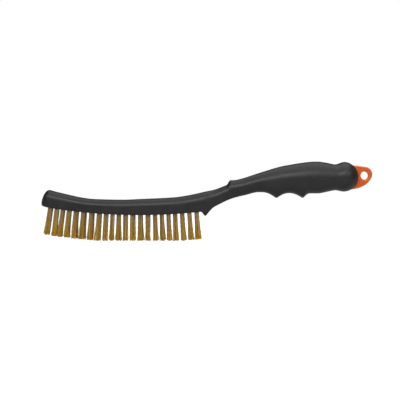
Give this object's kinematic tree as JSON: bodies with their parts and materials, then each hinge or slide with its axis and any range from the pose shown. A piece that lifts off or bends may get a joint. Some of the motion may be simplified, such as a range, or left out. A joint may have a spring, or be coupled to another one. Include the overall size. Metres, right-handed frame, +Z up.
{
  "type": "wire brush",
  "caption": "Hand wire brush: a curved narrow head with two rows of brass wire tufts and a soft grip with finger ridges, a thumb step and a hanging eye.",
  "frame": {"origin": "middle of the brush's bounding box, at the level of the lowest wire tips", "axes": "+X along the brush from the head's tip to the hanging eye, +Y across it, +Z up with the tufts pointing down"},
  "size_m": [0.2876, 0.0248, 0.0694],
  "materials": {
    "overmould": "satin black moulded plastic, a little soft",
    "core": "orange moulded plastic, smooth",
    "wire": "drawn brass wire, crimped",
    "anchor": "bright flat steel wire"
  },
  "bodies": {
    "root": {"handle_overmould": "overmould", "handle_core": "core", "anchor_wire_front": "anchor", "anchor_wire_back": "anchor", "tuft_front_01": "wire", "tuft_front_02": "wire", "tuft_front_03": "wire", "tuft_front_04": "wire", "tuft_front_05": "wire", "tuft_front_06": "wire", "tuft_front_07": "wire", "tuft_front_08": "wire", "tuft_front_09": "wire", "tuft_front_10": "wire", "tuft_front_11": "wire", "tuft_front_12": "wire", "tuft_front_13": "wire", "tuft_front_14": "wire", "tuft_front_15": "wire", "tuft_front_16": "wire", "tuft_front_17": "wire", "tuft_front_18": "wire", "tuft_front_19": "wire", "tuft_front_20": "wire", "tuft_front_21": "wire", "tuft_front_22": "wire", "tuft_back_01": "wire", "tuft_back_02": "wire", "tuft_back_03": "wire", "tuft_back_04": "wire", "tuft_back_05": "wire", "tuft_back_06": "wire", "tuft_back_07": "wire", "tuft_back_08": "wire", "tuft_back_09": "wire", "tuft_back_10": "wire", "tuft_back_11": "wire", "tuft_back_12": "wire", "tuft_back_13": "wire", "tuft_back_14": "wire", "tuft_back_15": "wire", "tuft_back_16": "wire", "tuft_back_17": "wire", "tuft_back_18": "wire", "tuft_back_19": "wire", "tuft_back_20": "wire", "tuft_back_21": "wire", "tuft_back_22": "wire"}
  },
  "joints": []
}
